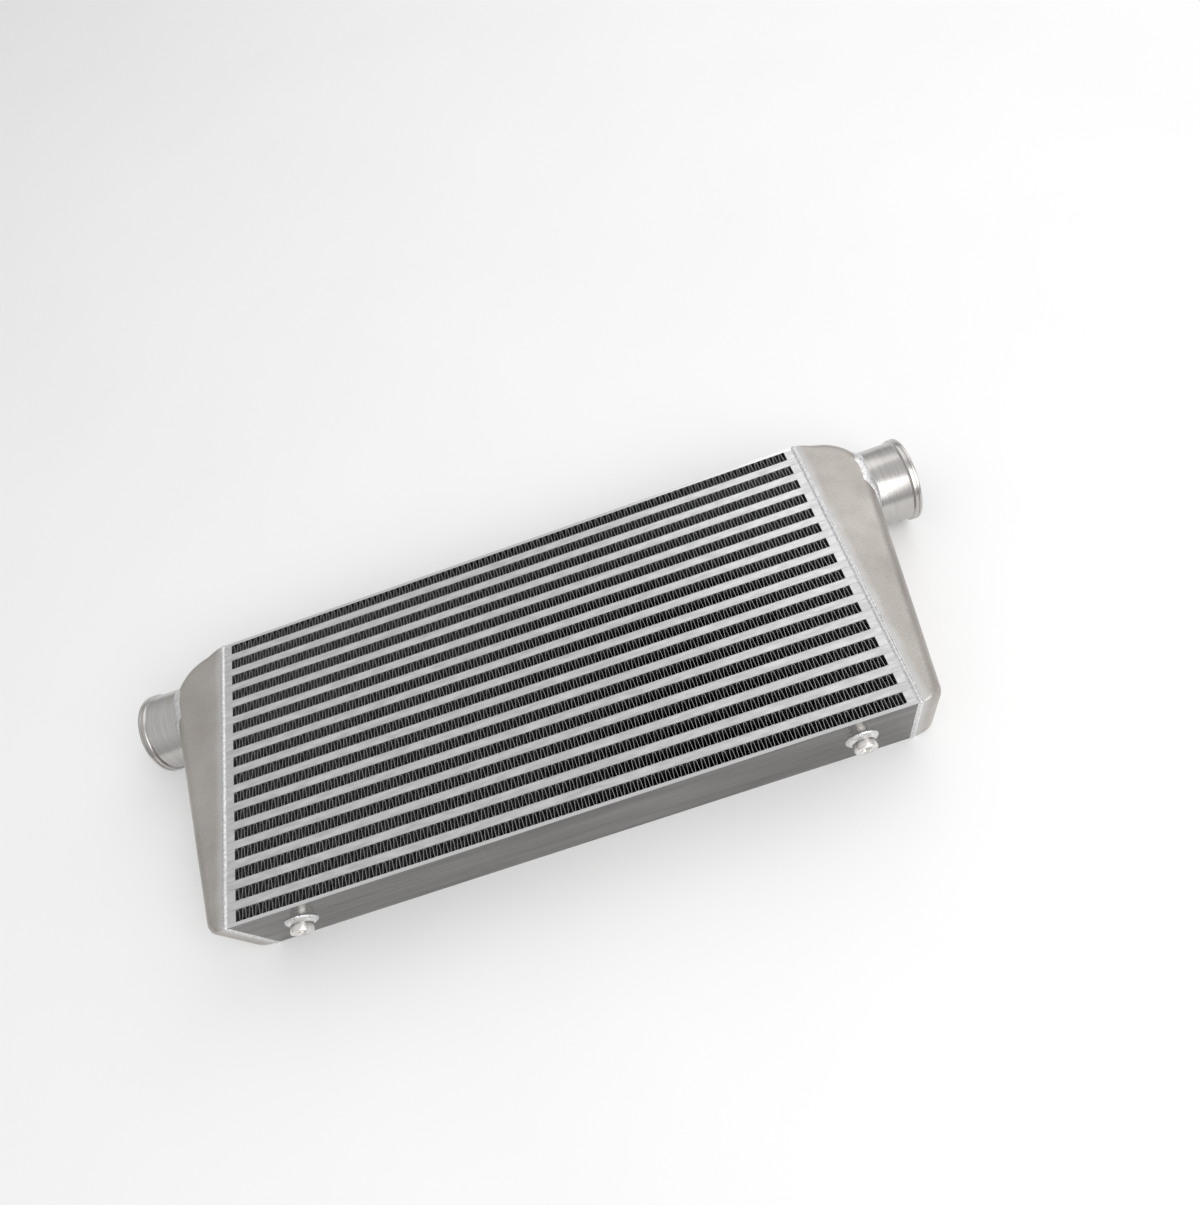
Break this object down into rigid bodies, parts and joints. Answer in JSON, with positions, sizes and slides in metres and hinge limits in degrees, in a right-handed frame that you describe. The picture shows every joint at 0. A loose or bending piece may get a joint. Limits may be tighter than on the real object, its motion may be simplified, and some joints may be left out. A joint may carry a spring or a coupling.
{
  "type": "hydraulic oil cooler",
  "caption": "Flat bar-and-plate aluminium oil cooler with stacked fin rows, a tapered end tank and a side-facing hose spigot at each end, and tapped bosses on one side plate.",
  "frame": {"origin": "middle of the back face of the core, which the cooler lies on", "axes": "+X along the core from the left tank to the right tank, +Y up the core height towards the spigots, +Z out of the front face along the air direction"},
  "size_m": [0.784, 0.2922, 0.0812],
  "materials": {
    "side_plate": "mill-finish sheet, semi-bright",
    "parting_sheet": "brazed sheet edge",
    "bar": "satin extruded bar, brazed",
    "air_fin": "thin folded sheet, dull grey",
    "turbulator": "thin folded sheet",
    "tank": "matt blasted",
    "spigot": "turned, bright",
    "weld": "rippled weld bead",
    "boss": "turned, bright"
  },
  "bodies": {
    "root": {"top_side_plate": "side_plate", "bottom_side_plate": "side_plate", "parting_sheets": "parting_sheet", "front_long_bars": "bar", "rear_long_bars": "bar", "left_short_bars": "bar", "right_short_bars": "bar", "air_fin_01": "air_fin", "air_fin_02": "air_fin", "air_fin_03": "air_fin", "air_fin_04": "air_fin", "air_fin_05": "air_fin", "air_fin_06": "air_fin", "air_fin_07": "air_fin", "air_fin_08": "air_fin", "air_fin_09": "air_fin", "air_fin_10": "air_fin", "air_fin_11": "air_fin", "air_fin_12": "air_fin", "air_fin_13": "air_fin", "air_fin_14": "air_fin", "air_fin_15": "air_fin", "air_fin_16": "air_fin", "oil_turbulator_01": "turbulator", "oil_turbulator_02": "turbulator", "oil_turbulator_03": "turbulator", "oil_turbulator_04": "turbulator", "oil_turbulator_05": "turbulator", "oil_turbulator_06": "turbulator", "oil_turbulator_07": "turbulator", "oil_turbulator_08": "turbulator", "oil_turbulator_09": "turbulator", "oil_turbulator_10": "turbulator", "oil_turbulator_11": "turbulator", "oil_turbulator_12": "turbulator", "oil_turbulator_13": "turbulator", "oil_turbulator_14": "turbulator", "oil_turbulator_15": "turbulator", "left_tank": "tank", "left_spigot": "spigot", "left_tank_weld": "weld", "left_spigot_weld": "weld", "left_boss": "boss", "left_boss_weld": "weld", "right_tank": "tank", "right_spigot": "spigot", "right_tank_weld": "weld", "right_spigot_weld": "weld", "right_boss": "boss", "right_boss_weld": "weld"}
  },
  "joints": []
}
